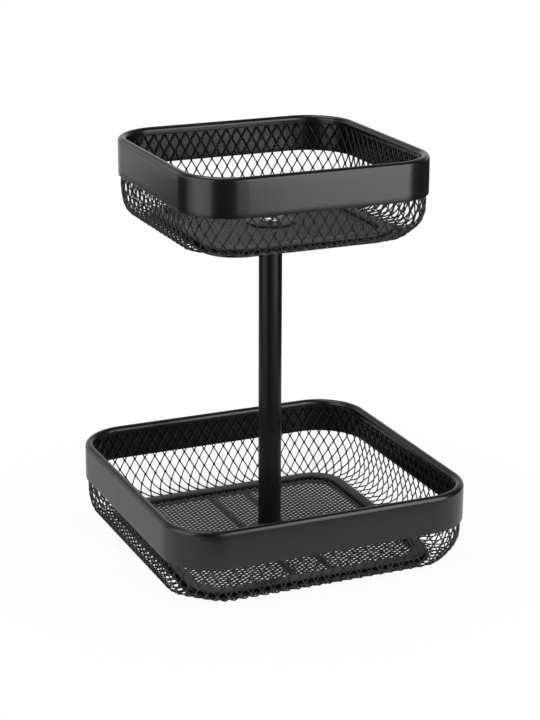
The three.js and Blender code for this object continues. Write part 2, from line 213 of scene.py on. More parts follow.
def powder_coat(name, dark, light, gloss, ripple, shine=0.5):
    """Satin black: gloss is the middle roughness, ripple the depth of the peel in millimetres."""
    material, shade = start_finish(name)
    place = shade.node("ShaderNodeTexCoord", out="Object")
    drift = noise(place, WIDE_DRIFT, 3.0)
    peel = noise(place, PEEL_RIPPLE)
    grain = noise(place, FINE_GRAIN, 1.0)
    smoothest = gloss - (GLOSS_DRIFT + GLOSS_GRAIN) / 2
    tone = COLOUR_DRIFT * drift + (1 - COLOUR_DRIFT) * grain
    finish_surface(shade, {
        "Base Color": mixed(tone, grey(dark), grey(light)),
        "Roughness": smoothest + GLOSS_DRIFT * drift + GLOSS_GRAIN * grain,
        "Specular IOR Level": shine,
        "Normal": relief(PEEL_SHARE * peel + (1 - PEEL_SHARE) * grain, ripple),
    })
    return material


# These five coats stand for one and the same satin black. Their base darkness differs from part to part
# as painted light and shade: the bands are darkest, the plates and meshes lighter, and the floor mesh,
# whose strands face the light above, lightest.
band_coat = powder_coat("band_satin_black", dark=0.004, light=0.007, gloss=0.25, ripple=0.008)
wall_coat = powder_coat("wall_satin_black", dark=0.008, light=0.013, gloss=0.30, ripple=0.008, shine=0.4)
floor_coat = powder_coat("floor_satin_black", dark=0.015, light=0.024, gloss=0.32, ripple=0.008)
plate_coat = powder_coat("plate_satin_black", dark=0.012, light=0.018, gloss=0.34, ripple=0.010)
post_coat = powder_coat("post_satin_black", dark=0.005, light=0.008, gloss=0.27, ripple=0.006, shine=0.2)
print("powder coats:", [m.name for m in (band_coat, wall_coat, floor_coat, plate_coat, post_coat)])

# %% [markdown]
# ## Bright chrome and dull zinc
# The cap nut and its washer are chrome plated: a mirror with faint polishing streaks that run
# around the axis. The fasteners that hide under the baskets are zinc plated, which is greyer,
# duller and broken up into small pale and dark crystals. Streaks come from a noise that is
# stretched along one axis, and crystals from Voronoi cells.

# %% Make the metals
STREAK_STRETCH = (60, 60, 1800)
STREAK_DEPTH = 0.002
CHROME_COOL = (0.80, 0.81, 0.83, 1)
CHROME_BRIGHT = grey(0.88)
CRYSTAL_SCALE = 700
CRYSTAL_SHARE = 0.6
ZINC_DEPTH = 0.01
ZINC_DARK = (0.50, 0.52, 0.55, 1)
ZINC_PALE = (0.72, 0.72, 0.70, 1)


def chrome_plate(name):
    material, shade = start_finish(name)
    place = shade.node("ShaderNodeTexCoord", out="Object")
    wanted = {"Vector": place, "Scale": STREAK_STRETCH}
    streaks = noise(shade.node("ShaderNodeMapping", inputs=wanted), 1.0)
    haze = noise(place, PEEL_RIPPLE)
    finish_surface(shade, {
        "Base Color": mixed(haze, CHROME_COOL, CHROME_BRIGHT),
        "Metallic": 1.0,
        "Roughness": 0.12 + 0.06 * haze + 0.05 * streaks,
        "Normal": relief(streaks, STREAK_DEPTH),
    })
    return material


def zinc_plate(name):
    material, shade = start_finish(name)
    place = shade.node("ShaderNodeTexCoord", out="Object")
    crystals = shade.node("ShaderNodeTexVoronoi", inputs={"Vector": place, "Scale": CRYSTAL_SCALE})
    haze = noise(place, PEEL_RIPPLE)
    tone = CRYSTAL_SHARE * crystals + (1 - CRYSTAL_SHARE) * haze
    finish_surface(shade, {
        "Base Color": mixed(tone, ZINC_DARK, ZINC_PALE),
        "Metallic": 1.0,
        "Roughness": 0.30 + 0.12 * crystals + 0.08 * haze,
        "Normal": relief(haze, ZINC_DEPTH),
    })
    return material


bright_chrome = chrome_plate("bright_chrome")
dull_zinc = zinc_plate("dull_zinc")
print("metals:", bright_chrome.name, dull_zinc.name)

# %% [markdown]
# ## From points to a piece
# Every piece below is worked out as points and faces in millimetres. Blender's own primitives
# would be quicker, but none of them is a rolled hem or a slit sheet. One helper turns the points
# into a mesh, closes doubled points, turns all faces outward, keeps only real edges sharp, and
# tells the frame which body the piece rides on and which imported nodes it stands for.

# %% The helper that makes a piece
DOUBLED = 1e-7
PRESSED_EDGE = 38
RIBBON_EDGE = 50
MACHINED_EDGE = 28


def rack_piece(name, shape, coat, body, nodes, sharp=PRESSED_EDGE):
    """A piece from its points and faces. Edges that turn by more than sharp degrees stay sharp."""
    points, faces = shape
    mesh = bpy.data.meshes.new(name)
    mesh.from_pydata((np.asarray(points) * MM).tolist(), [], faces)
    skin = bmesh.new()
    skin.from_mesh(mesh)
    bmesh.ops.remove_doubles(skin, verts=skin.verts, dist=DOUBLED)
    bmesh.ops.recalc_face_normals(skin, faces=skin.faces)
    skin.to_mesh(mesh)
    skin.free()
    mesh.polygons.foreach_set("use_smooth", [True] * len(mesh.polygons))
    mesh.set_sharp_from_angle(angle=radians(sharp))
    mesh.materials.append(coat)
    piece = bpy.data.objects.new(name, mesh)
    scene.collection.objects.link(piece)
    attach(piece, body)
    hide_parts(*nodes)
    print(name, "has", len(mesh.polygons), "faces")


print("pieces keep edges sharp from", PRESSED_EDGE, "degrees")

# %% [markdown]
# ## The two baskets' sizes
# Both baskets are built alike, so each step below makes a piece twice from one record of sizes.
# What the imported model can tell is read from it, so that a piece always lies where its node
# lies. Only the corner radius, the fullness of the wall's sweep and what the mesh needs (its count
# of columns, where its first column and row fall, and the side to which it leans) are written here.

# %% Read the baskets from the frame
class Tier:
    """One basket: its place and its sizes in millimetres."""

    def __init__(self, name, body, corner, fullness, columns, first_column, first_row, lean):
        low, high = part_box(name + "_rim_band")
        self.name = name
        self.body = body
        self.side = (high.x - low.x) / MM
        self.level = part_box(name + "_foot_ring")[0].z / MM
        self.height = high.z / MM - self.level
        self.corner = corner
        self.fullness = fullness
        self.columns = columns
        self.first_column = first_column
        self.first_row = first_row
        self.lean = lean

    def piece(self, name, shape, coat, node, slot, sharp=PRESSED_EDGE):
        """A piece of this basket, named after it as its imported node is."""
        prefix = self.name + "_"
        rack_piece(prefix + name, shape, coat, self.body, [prefix + node], sharp)


tiers = [
    Tier("lower", "stand", corner=43, fullness=0.79,
         columns=102, first_column=-0.31, first_row=6.0, lean=1),
    Tier("upper", "upper_tier", corner=42, fullness=0.84,
         columns=81, first_column=-0.5, first_row=3.9, lean=-1),
]
for tier in tiers:
    sizes = [round(size, 1) for size in (tier.side, tier.height, tier.level)]
    print(tier.name, "basket has side, height and level", sizes)

# %% [markdown]
# ## Sections carried around a basket
# Bands and rings are strips that follow the same rounded square. A curve with a bevel profile
# could make them, but each strip needs its own corner radius. So a section of (inset, height)
# points is carried around the square by hand, after its sharp corners have been rounded off.

# %% Carry a section around a basket
CORNER_STEPS = 22
KEPT_TURN = radians(30)
LONGEST_EASE = 0.45


def softened(corners, radius, steps=3):
    """A closed section whose sharp corners are rounded off by short arcs."""
    corners = np.asarray(corners, float)
    result = []
    for before, here, after in zip(np.roll(corners, 1, 0), corners, np.roll(corners, -1, 0)):
        back, on = before - here, after - here
        back_length, on_length = np.linalg.norm(back), np.linalg.norm(on)
        straightness = np.dot(back, on) / (back_length * on_length)
        if straightness < -cos(KEPT_TURN):
            result.append(here)
            continue
        start = here + back / back_length * min(radius, LONGEST_EASE * back_length)
        end = here + on / on_length * min(radius, LONGEST_EASE * on_length)
        for t in np.linspace(0, 1, steps + 1):
            result.append((1 - t) ** 2 * start + 2 * t * (1 - t) * here + t ** 2 * end)
    return np.array(result)


def wrapped_quads(stations, around):
    """Faces of a closed section that runs once around and meets itself."""
    here = np.arange(stations)[:, None] * around
    after = np.roll(here, -1, 0)
    i = np.arange(around)
    j = np.roll(i, -1)
    return np.stack([here + i, after + i, after + j, here + j], -1).reshape(-1, 4).tolist()


def hoop(tier, section, ease):
    """Points and faces of a section of (inset, height) that follows the basket's outline."""
    inset, height = np.asarray(section, float).T
    radius = tier.corner - ease * inset
    centre = tier.side / 2 - inset - radius
    rings = []
    for quarter in range(4):
        turn = quarter * pi / 2
        for angle in np.linspace(0, pi / 2, CORNER_STEPS + 1):
            x = centre + radius * cos(angle)
            y = centre + radius * sin(angle)
            rings.append(np.stack([
                x * cos(turn) - y * sin(turn),
                x * sin(turn) + y * cos(turn),
                height + tier.level,
            ], -1))
    return np.concatenate(rings), wrapped_quads(len(rings), len(inset))


print("a softened square has", len(softened([(0, 0), (1, 0), (1, 1), (0, 1)], 0.1)), "points")

# %% [markdown]
# ## The smooth rim bands
# The band is one strip of thin sheet around the basket. Its top edge is rolled over inward into a
# round hem, which hides the raw edge of the mesh and shows the long bright line in the light. The
# section is drawn as the strip runs: up the outer face, over the roll, around the raw edge and
# back down the inside. Rolled strip is never quite flat: its face bows out by a hair, which
# spreads what it mirrors.

# %% Make the rim bands
BAND_HEIGHT = 31
BAND_SHEET = 1
BAND_EDGE = 0.45
BAND_BOW = 0.04
BOW_STEPS = 7
HEM_WIDTH = 7
HEM_LEG = 6.5
HEM_STEPS = 18


def hem_arc(tier, radius):
    """The rolled edge, from the outer face over the top to the inside."""
    angle = np.linspace(0, pi, HEM_STEPS)
    middle = HEM_WIDTH / 2
    inset = middle - radius * np.cos(angle)
    return np.stack([inset, tier.height - middle + radius * np.sin(angle)], -1)


def bowed_face(tier, inset):
    """The upright face below the hem, from its bottom edge upward, bowed out a little."""
    up = np.linspace(0, 1, BOW_STEPS)[:-1]
    height = tier.height - BAND_HEIGHT + up * (BAND_HEIGHT - HEM_WIDTH / 2)
    return np.stack([inset - BAND_BOW * 4 * up * (1 - up), height], -1)


for tier in tiers:
    leg = tier.height - HEM_LEG
    section = np.concatenate([
        bowed_face(tier, 0),
        hem_arc(tier, HEM_WIDTH / 2),
        [[HEM_WIDTH, leg], [HEM_WIDTH - BAND_SHEET, leg]],
        hem_arc(tier, HEM_WIDTH / 2 - BAND_SHEET)[::-1],
        bowed_face(tier, BAND_SHEET)[::-1],
    ])
    strip = hoop(tier, softened(section, BAND_EDGE), 1)
    tier.piece("band", strip, band_coat, "rim_band", "band_black")

# %% [markdown]
# ## Ribbons of expanded metal
# The wall starts as a flat sheet with rows of staggered slits. Pulling the sheet opens each slit
# into a diamond, and the metal between the slits twists as it is pulled, so the ribbons lie
# aslant: half of the strands face a little up and half a little down, and they catch the light
# differently. A wireframe of diamonds, or a pattern cut out by transparency, would lose that. So
# each ribbon is made as the real one runs: a flat bar that swings from the bond with its left
# neighbour to the bond with its right neighbour and back.

# %% Swing the ribbons
def ribbon_section(width, thick, chamfer=0):
    """A bar's outline in (across, out), from its right edge round to its left one."""
    half, edge = width / 2, thick / 2
    if chamfer == 0:
        return np.array([[half, -edge], [half, edge], [-half, edge], [-half, -edge]])
    right = [[half, chamfer - edge], [half, edge - chamfer]]
    top = [[half - chamfer, edge], [chamfer - half, edge]]
    left = [[-half, edge - chamfer], [-half, chamfer - edge]]
    bottom = [[chamfer - half, -edge], [half - chamfer, -edge]]
    return np.array(right + top + left + bottom)


def net_levels(first_row, row_pitch, bond, start, end):
    """Levels along a ribbon, the row of each one that lies on a bond, and the swing at each."""
    levels, rows, swings = [], [], []
    row = int(np.floor((start - first_row) / row_pitch)) - 1
    while first_row + row * row_pitch - bond < end:
        middle = first_row + row * row_pitch
        side = row % 2
        levels += [middle - bond / 2, middle + bond / 2, middle + row_pitch / 2]
        rows += [row, row, None]
        swings += [side, side, 0.5]
        row += 1
    kept = [i for i, level in enumerate(levels) if start <= level <= end]
    return np.array(levels)[kept], [rows[i] for i in kept], np.array(swings)[kept]


def swung_ribbons(place, ribbons, rungs, section, bond_tilt, strand_tilt, strand_spread):
    """Every ribbon's corners on each level, and the levels of its bonds with the next ribbon."""
    levels, rows, swings = rungs
    bonded = np.array([row is not None for row in rows])
    tilt = np.where(bonded, bond_tilt, strand_tilt)
    lean = np.array([[np.cos(tilt), np.sin(tilt)], [-np.sin(tilt), np.cos(tilt)]]).transpose(2, 0, 1)
    spread = np.where(bonded, 1, strand_spread)[:, None]
    width = section[:, 0].max() * 2
    thick = section[:, 1].max()
    left_top = len(section) // 2
    placed, on_right = [], []
    for k in range(ribbons):
        swing = np.where(k % 2, 1 - swings, swings)
        centres, across, out = place(k + swing, levels)
        shape = np.repeat(section[None], len(levels), 0)
        for i in np.flatnonzero(bonded):
            flush = (0, 1) if swing[i] > 0.5 else (left_top + 1, left_top)
            shape[i, flush, 1] = (-thick, thick)
        shape[:, :, 0] = shape[:, :, 0] * spread + ((0.5 - swing) * width)[:, None]
        shape = shape @ lean
        sideways = shape[..., :1] * across[:, None]
        outward = shape[..., 1:] * out[:, None]
        placed.append(centres[:, None] + sideways + outward)
        on_right.append(np.flatnonzero(bonded & (swing > 0.5)))
    return placed, on_right


print("a ribbon's section has", len(ribbon_section(2, 1, 0.2)), "corners, or 4 without the chamfer")

# %% [markdown]
# ## One skin for the whole net
# Loose ribbons that only touch would leave hidden faces inside every bond, and those show as
# flecks and spoil the mesh for other uses. So where two ribbons are bonded they share their
# points and have no face between them, and the net is one closed skin.

# %% Weave ribbons into a net
def shared_bonds(rows, spans, on_right, closed):
    """Levels, as (ribbon, level), at which a ribbon and the next one share a whole bond."""
    def holds(k, pair):
        return any(a <= pair[0] and pair[-1] <= b for a, b in spans[k])

    ribbons = len(spans)
    shared = set()
    for k in range(ribbons if closed else ribbons - 1):
        for i in on_right[k]:
            pair = [j for j in (i - 1, i, i + 1) if 0 <= j < len(rows) and rows[j] == rows[i]]
            if len(pair) == 2 and holds(k, pair) and holds((k + 1) % ribbons, pair):
                shared.add((k, i))
    return shared


def net(place, spans, rungs, section, bond_tilt, strand_tilt, strand_spread, closed):
    """Points and faces of a net. place(column, level) gives points and their frames."""
    ribbons = len(spans)
    rows = rungs[1]
    tilts = (bond_tilt, strand_tilt)
    placed, on_right = swung_ribbons(place, ribbons, rungs, section, *tilts, strand_spread)
    shared = shared_bonds(rows, spans, on_right, closed)
    corners = len(section)
    left_top = corners // 2
    points, faces, index = [], [], {}
    for k in range(ribbons):
        for a, b in spans[k]:
            for i in range(a, b + 1):
                for corner in range(corners):
                    index[k, i, corner] = len(points)
                    points.append(placed[k][i, corner])
    for k, i in shared:
        other = (k + 1) % ribbons
        index[other, i, left_top] = index[k, i, 1]
        index[other, i, left_top + 1] = index[k, i, 0]
    for k in range(ribbons):
        before = (k - 1) % ribbons
        for a, b in spans[k]:
            for i in range(a, b):
                in_bond = rows[i] is not None and rows[i] == rows[i + 1]
                for corner in range(corners):
                    if in_bond and corner == 0 and (k, i) in shared:
                        continue
                    if in_bond and corner == left_top and (before, i) in shared:
                        continue
                    after = (corner + 1) % corners
                    faces.append([index[k, i, corner], index[k, i, after],
                                  index[k, i + 1, after], index[k, i + 1, corner]])
            faces.append([index[k, a, corner] for corner in range(corners)][::-1])
            faces.append([index[k, b, corner] for corner in range(corners)])
    return points, faces


print("nets can be woven")

# %% [markdown]
# ## The sweep of the walls
# Behind the band the wall is upright; below it, the wall sweeps in to the foot in one full curve,
# which is fuller in the middle of a side than in a corner. A Bezier curve with four knots gives
# the sweep, and its fullness says how far the two middle knots are drawn out. A point of the wall
# is then a share of the way round and a length down from the hem.

# %% Describe the walls
WALL_INSET = 1.5
WALL_THICKNESS = 1.5
WALL_STRAIGHT = 8
WALL_CORNER_FULLNESS = 0.56
SWEEP_STEPS = 80
BASE_INSET = 23
BASE_LEVEL = 2.8
BASE_CORNER_EASE = 0.6
FLANGE_RUN = 5


def wall_line(tier, fullness):
    """The middle of the wall: inset and height at each length run down from the hem."""
    top = tier.height - HEM_WIDTH / 2
    bend = tier.height - BAND_HEIGHT - WALL_STRAIGHT
    t = np.linspace(0, 1, SWEEP_STEPS)[:, None]
    knots = np.array([
        [WALL_INSET, bend],
        [WALL_INSET, bend + (BASE_LEVEL - bend) * fullness],
        [BASE_INSET + (WALL_INSET - BASE_INSET) * fullness, BASE_LEVEL],
        [BASE_INSET, BASE_LEVEL],
    ])
    sweep = (1 - t) ** 3 * knots[0] + 3 * t * (1 - t) ** 2 * knots[1]
    sweep = sweep + 3 * t ** 2 * (1 - t) * knots[2] + t ** 3 * knots[3]
    line = np.concatenate([[[WALL_INSET, top]], sweep, [[BASE_INSET + FLANGE_RUN, BASE_LEVEL]]])
    slope = np.gradient(line, axis=0)
    inward = np.stack([-slope[:, 1], slope[:, 0]], -1) / np.linalg.norm(slope, axis=1)[:, None]
    line = line + inward * WALL_THICKNESS / 2
    run = np.concatenate([[0], np.cumsum(np.linalg.norm(np.diff(line, axis=0), axis=1))])
    return line[:, 0], line[:, 1], run


def wall_point(tier, share, down, side_line, corner_line):
    """A point of the wall, a share of the way round from the middle of the right side."""
    straight = tier.side / 2 - tier.corner
    arc = tier.corner * pi / 2
    quarter = np.floor(share * 4)
    along = (share * 4 - quarter) * (2 * straight + arc)
    angle = np.clip((along - straight) / arc, 0, 1) * pi / 2
    in_corner = np.sin(2 * angle) ** 2
    inset, height = 0, 0
    for line, weight in ((side_line, 1 - in_corner), (corner_line, in_corner)):
        run = down * line[2][-1] / side_line[2][-1]
        inset = inset + weight * np.interp(run, line[2], line[0])
        height = height + weight * np.interp(run, line[2], line[1])
    radius = tier.corner - BASE_CORNER_EASE * inset
    centre = tier.side / 2 - inset - radius
    reach = centre / straight
    x = centre + radius * np.cos(angle) - np.maximum(along - straight - arc, 0) * reach
    y = centre + radius * np.sin(angle) - np.maximum(straight - along, 0) * reach
    turn = quarter * pi / 2
    across_x = x * np.cos(turn) - y * np.sin(turn)
    across_y = x * np.sin(turn) + y * np.cos(turn)
    return np.stack([across_x, across_y, height + tier.level], -1)


for tier in tiers:
    print(tier.name, "wall runs", round(wall_line(tier, tier.fullness)[2][-1], 1), "mm down")

# %% [markdown]
# ## The mesh walls
# The net is laid along the sweep and around the rounded square together, so that columns run
# straight down and the diamonds close up a little in the corners, as they do when the sheet is
# pressed over a form. The ribbons of the two baskets lean to opposite sides, because a sheet may
# be rolled up with either face outward.

# %% Lay the net along the walls
WALL_ROW = 7.87
WALL_BOND = 1.7
WALL_RIBBON = 1.05
WALL_RIBBON_THICK = 1.05
WALL_RIBBON_CHAMFER = 0.2
WALL_TILT = radians(30)
NET_MARGIN = 0.2
SMALL_STEP = 0.02


def unit(vectors):
    return vectors / np.linalg.norm(vectors, axis=-1, keepdims=True)


def wall_placer(tier):
    """The function that places the wall's ribbons, and the length of the wall."""
    side_line = wall_line(tier, tier.fullness)
    corner_line = wall_line(tier, WALL_CORNER_FULLNESS)
    halves = 2 * tier.columns

    def at(column, down):
        share = ((column + tier.first_column) / halves) % 1
        return wall_point(tier, share, down, side_line, corner_line)

    def place(column, down):
        across = unit(at(column + SMALL_STEP, down) - at(column - SMALL_STEP, down))
        upward = unit(at(column, down - SMALL_STEP) - at(column, down + SMALL_STEP))
        return at(column, down), across, unit(np.cross(across, upward))

    return place, side_line[2][-1]


wall_bar = ribbon_section(WALL_RIBBON, WALL_RIBBON_THICK, WALL_RIBBON_CHAMFER)
for tier in tiers:
    place, run = wall_placer(tier)
    rungs = net_levels(tier.first_row, WALL_ROW, WALL_BOND, NET_MARGIN, run - NET_MARGIN)
    spans = [[(0, len(rungs[0]) - 1)]] * (2 * tier.columns)
    tilt = tier.lean * WALL_TILT
    woven = net(place, spans, rungs, wall_bar, tilt, tilt, 1, True)
    tier.piece("wall_net", woven, wall_coat, "wall_mesh", "mesh_black", RIBBON_EDGE)

# %% [markdown]
# ## The mesh floors
# The floor is a finer grade of the same sheet, laid flat, with its long way from side to side. Its
# raw edge hides under the clamp ring, and the sheet is cut out around the bolt in the middle. The
# same net helper makes it; only the way that ribbons are placed changes. In so fine a sheet the
# bonds stay nearly flat while the strands between them twist up on edge, so from low in front the
# gaps close to small separate dots of light, and each kind of stretch gets its own tilt.

# %% Lay the net over the floors
FLOOR_EDGE = 30.75
FLOOR_MIDDLE = 3.2
FLOOR_LONG_WAY = 7.4
FLOOR_SHORT_WAY = 4.55
FLOOR_BOND = 2.2
FLOOR_RIBBON = 1.06
FLOOR_RIBBON_THICK = 0.4
FLOOR_BOND_TILT = radians(9)
FLOOR_STRAND_TILT = radians(37)
FLOOR_STRAND_SPREAD = 1.6
BOLT_CUT_OUT = 6.5


def floor_placer(tier, ribbons):
    """The function that places the floor's ribbons, side by side from front to back."""
    def place(column, along):
        y = (column - ribbons / 2) * FLOOR_SHORT_WAY / 2
        centres = np.stack([along, y, np.full_like(along, tier.level + FLOOR_MIDDLE)], -1)
        ones = np.ones((len(along), 1))
        return centres, ones * (0, 1, 0), ones * (0, 0, 1)

    return place


def floor_spans(levels, ribbons, half, radius):
    """For each ribbon, the first and last level of every stretch that lies on the floor."""
    spans = []
    for k in range(ribbons):
        y = (k + 0.5 - ribbons / 2) * FLOOR_SHORT_WAY / 2
        past_corner = max(abs(y) + FLOOR_SHORT_WAY / 4 - (half - radius), 0)
        reach = half - radius + np.sqrt(max(radius ** 2 - past_corner ** 2, 0))
        within = (np.abs(levels) < reach - NET_MARGIN) & (past_corner < radius)
        within = within & (np.hypot(levels, y) > BOLT_CUT_OUT)
        edges = np.flatnonzero(np.diff(np.concatenate([[0], within, [0]]))).reshape(-1, 2)
        spans.append([(a, b - 1) for a, b in edges if b - a > 1])
    return spans


floor_bar = ribbon_section(FLOOR_RIBBON, FLOOR_RIBBON_THICK)
for tier in tiers:
    half = tier.side / 2 - FLOOR_EDGE
    radius = tier.corner - BASE_CORNER_EASE * FLOOR_EDGE
    rungs = net_levels(0, FLOOR_LONG_WAY / 2, FLOOR_BOND, -half, half)
    ribbons = 2 * int(half / FLOOR_SHORT_WAY * 2)
    spans = floor_spans(rungs[0], ribbons, half, radius)
    woven = net(floor_placer(tier, ribbons), spans, rungs, floor_bar,
                FLOOR_BOND_TILT, FLOOR_STRAND_TILT, FLOOR_STRAND_SPREAD, False)
    tier.piece("floor_net", woven, floor_coat, "floor_mesh", "mesh_black", RIBBON_EDGE)

# %% [markdown]
# ## Clamp rings and foot rings
# A shallow channel holds the wall and the floor together from above, and a flat ring carries both
# from below. They are pressed from sheet, so no edge of theirs is sharp: a soft edge is what draws
# the thin light line around a pressed part. The section helper rounds the corners before the
# section is carried around.

# %% Make the rings
CLAMP_OUTER = 24.75
CLAMP_INNER = 33.75
CLAMP_SHEET = 1
CLAMP_TOP = 6.5
CLAMP_ON_WALL = 4.6
CLAMP_ON_FLOOR = 3.9
CLAMP_EDGE = 0.5
FOOT_INNER = 35
FOOT_THICKNESS = 2.5
FOOT_EDGE = 0.9
EDGE_STEPS = 4

for tier in tiers:
    inner_wall = CLAMP_INNER - CLAMP_SHEET
    outer_wall = CLAMP_OUTER + CLAMP_SHEET
    inside_top = CLAMP_TOP - CLAMP_SHEET
    channel = [
        (CLAMP_OUTER, CLAMP_ON_WALL), (CLAMP_OUTER, CLAMP_TOP),
        (CLAMP_INNER, CLAMP_TOP), (CLAMP_INNER, CLAMP_ON_FLOOR),
        (inner_wall, CLAMP_ON_FLOOR), (inner_wall, inside_top),
        (outer_wall, inside_top), (outer_wall, CLAMP_ON_WALL),
    ]
    clamp = hoop(tier, softened(channel, CLAMP_EDGE, EDGE_STEPS), BASE_CORNER_EASE)
    tier.piece("clamp", clamp, plate_coat, "clamp_ring", "band_black")
    flat_ring = [
        (BASE_INSET, 0), (BASE_INSET, FOOT_THICKNESS),
        (FOOT_INNER, FOOT_THICKNESS), (FOOT_INNER, 0),
    ]
    foot = hoop(tier, softened(flat_ring, FOOT_EDGE, EDGE_STEPS), BASE_CORNER_EASE)
    tier.piece("foot", foot, band_coat, "foot_ring", "band_black")

# %% [markdown]
# ## Bars under the floors
# Two flat bars cross under each floor and keep the thin mesh from sagging. A bar is a short
# extrusion with eased edges: one rounded section, drawn in slightly at both ends, as a sheared
# and coated end is.

# %% Make the bars
BAR_EASE = 0.5
BAR_END_STEPS = 4


def bar_between(low, high):
    """A flat bar along Y, eased on all its edges, that fills the box between two corners."""
    size = high - low
    centre = (low + high) / 2
    x, y, z = size / 2
    box_section = np.array([[-x, -z], [-x, z], [x, z], [x, -z]])
    rings = []
    for end in (-1, 1):
        for t in np.linspace(0, pi / 2, BAR_END_STEPS)[::end]:
            inward = BAR_EASE * (1 - sin(t))
            along = end * (y - BAR_EASE * (1 - cos(t)))
            ring = softened(box_section * (1 - 2 * inward / size[[0, 2]]), BAR_EASE)
            rings.append(np.stack([ring[:, 0], np.full(len(ring), along), ring[:, 1]], -1) + centre)
    around = len(rings[0])
    faces = wrapped_quads(len(rings), around)[:-around]
    faces.append(list(range(around))[::-1])
    faces.append(list(range(around * (len(rings) - 1), around * len(rings))))
    return np.concatenate(rings), faces


for tier in tiers:
    for side in ("left", "right"):
        node = tier.name + "_floor_bar_" + side
        low, high = (np.array(corner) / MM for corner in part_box(node))
        tier.piece("bar_" + side, bar_between(low, high), plate_coat, "floor_bar_" + side, "band_black")

# %% [markdown]
# ## Turned pieces: hubs, post and washers
# Everything on the rack's axis is round, so a profile of (radius, height) points spun around the
# axis makes it. A Screw modifier would do the same, but the nut and the bolt also need flats, so
# each ring of the profile may be cut by a hexagon.

# %% Spin a profile
ROUND_STEPS = 72
THREAD_CLEARANCE = 4.3
POST_BORE = 8.3
PLATE_EDGE = 0.5
POST_EDGE = 0.4
WASHER_EDGE = 0.3


def spun(profile, closed, flats=()):
    """A profile spun around the axis. Rings listed in flats are cut by a hexagon of that width."""
    turns = np.linspace(0, 2 * pi, ROUND_STEPS, endpoint=False)
    off_flat = (turns + pi / 6) % (pi / 3) - pi / 6
    rings = []
    for i, (radius, z) in enumerate(profile):
        reach = np.full(ROUND_STEPS, float(radius))
        if i < len(flats) and flats[i]:
            reach = np.minimum(reach, flats[i] / 2 / np.cos(off_flat))
        heights = np.full(ROUND_STEPS, float(z))
        rings.append(np.stack([reach * np.cos(turns), reach * np.sin(turns), heights], -1))
    points = np.stack(rings, 1).reshape(-1, 3)
    around = len(profile)
    faces = wrapped_quads(ROUND_STEPS, around)
    if not closed:
        faces = [face for i, face in enumerate(faces) if i % around != around - 1]
    return points, faces


def node_ring(name, node, bore, coat, body, edge):
    """A round plate or tube that fills its node's box, with eased edges."""
    low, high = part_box(node)
    rim = high.x / MM
    bottom, top = low.z / MM, high.z / MM
    profile = softened([(bore, bottom), (rim, bottom), (rim, top), (bore, top)], edge, EDGE_STEPS)
    rack_piece(name, spun(profile, True), coat, body, [node])


for tier in tiers:
    node_ring(tier.name + "_hub", tier.name + "_hub_plate", THREAD_CLEARANCE, plate_coat,
              tier.body, PLATE_EDGE)
node_ring("post", "post_tube", POST_BORE, post_coat, "stand", POST_EDGE)
node_ring("seat_disc", "seat_washer", THREAD_CLEARANCE, dull_zinc, "stand", WASHER_EDGE)
node_ring("nut_disc", "nut_washer", THREAD_CLEARANCE, bright_chrome, "upper_tier", PLATE_EDGE)

# %% [markdown]
# ## The chrome cap nut
# The nut is a hexagon on a low flange, with its corners turned off in a cone, a short neck and a
# dome that covers the end of the stud. Only the flange shows well from the camera, and its slope is
# what mirrors the lamp overhead. The nut is a spun profile with hexagon rings: where a cone meets
# the flats, the curved chamfer lines of a real nut come out by themselves.

# %% Make the nut
NUT_FLATS = 13
NUT_HEX_HEIGHT = 6.5
NUT_DOME = 6.1
NUT_DOME_STEPS = 14
NUT_NECK_EASE = 0.25
NUT_BORE_DEPTH = 11
NUT_DRILL_POINT = 1
NUT_LEAD_IN = 0.6
NUT_CHAMFER = 1.1
NUT_CHAMFER_MIDDLE = (0.35, 0.6)
NUT_RIM = 0.1
NUT_FLANGE = 7.9
NUT_FLANGE_EASE = 0.2
NUT_FLANGE_EDGE = 0.45
NUT_FLANGE_CONE = 0.9
HEX_CORNER = NUT_FLATS / 2 / cos(pi / 6)

nut_low, nut_high = (corner.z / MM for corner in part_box("cap_nut"))
hex_low = nut_low + NUT_FLANGE_EDGE + NUT_FLANGE_CONE
hex_top = nut_low + NUT_HEX_HEIGHT
bore_top = nut_low + NUT_BORE_DEPTH
dome_axis = nut_high - NUT_DOME
bore = [
    (0, bore_top),
    (THREAD_CLEARANCE, bore_top - NUT_DRILL_POINT),
    (THREAD_CLEARANCE, nut_low + NUT_LEAD_IN),
    (THREAD_CLEARANCE + NUT_LEAD_IN, nut_low),
]
flange = [
    (NUT_FLANGE - NUT_FLANGE_EASE, nut_low),
    (NUT_FLANGE, nut_low + NUT_FLANGE_EASE),
    (NUT_FLANGE, nut_low + NUT_FLANGE_EDGE),
    (NUT_FLATS / 2, hex_low),
]
hexagon = [
    (HEX_CORNER, hex_low),
    (HEX_CORNER, hex_top - NUT_CHAMFER),
    (HEX_CORNER - NUT_CHAMFER_MIDDLE[0], hex_top - NUT_CHAMFER_MIDDLE[1]),
    (NUT_FLATS / 2 + NUT_RIM, hex_top - NUT_RIM),
]
neck = [
    (NUT_DOME + NUT_NECK_EASE, hex_top),
    (NUT_DOME, hex_top + NUT_NECK_EASE),
]
dome = [
    (NUT_DOME * cos(angle), dome_axis + NUT_DOME * sin(angle))
    for angle in np.linspace(0, pi / 2, NUT_DOME_STEPS)
]
nut_flats = [0] * len(bore + flange) + [NUT_FLATS] * len(hexagon)
nut = spun(bore + flange + hexagon + neck + dome, False, nut_flats)
rack_piece("dome_nut", nut, bright_chrome, "cap_nut", ["cap_nut"], MACHINED_EDGE)

# %% [markdown]
# ## The bolt under the post
# The bolt that holds the post from below has a wide flat head with a hexagon socket. Its profile
# starts at the bottom of the socket, whose first rings are cut by the hexagon, and ends at the
# tip of the shank.

